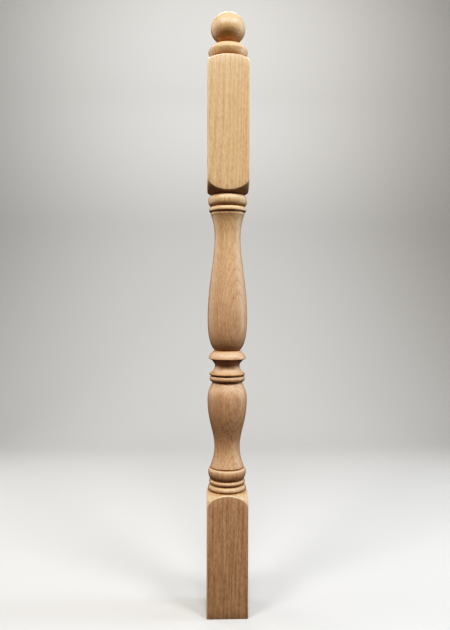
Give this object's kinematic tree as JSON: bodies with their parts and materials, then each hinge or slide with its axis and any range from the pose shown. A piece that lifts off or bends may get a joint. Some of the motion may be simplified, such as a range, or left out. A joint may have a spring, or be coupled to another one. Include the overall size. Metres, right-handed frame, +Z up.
{
  "type": "railing post",
  "caption": "Turned wooden newel post for a railing: square blocks at foot and head, two vase-shaped turnings between rings and a collar, and a ball on top.",
  "frame": {"origin": "centre of the underside of the foot", "axes": "+Z up along the post's axis, X and Y square to the flat faces of the blocks"},
  "size_m": [0.075, 0.075, 1.1],
  "materials": {
    "railing_post": "bare, sanded smooth, no varnish"
  },
  "bodies": {
    "root": {"railing_post": "railing_post"}
  },
  "joints": []
}
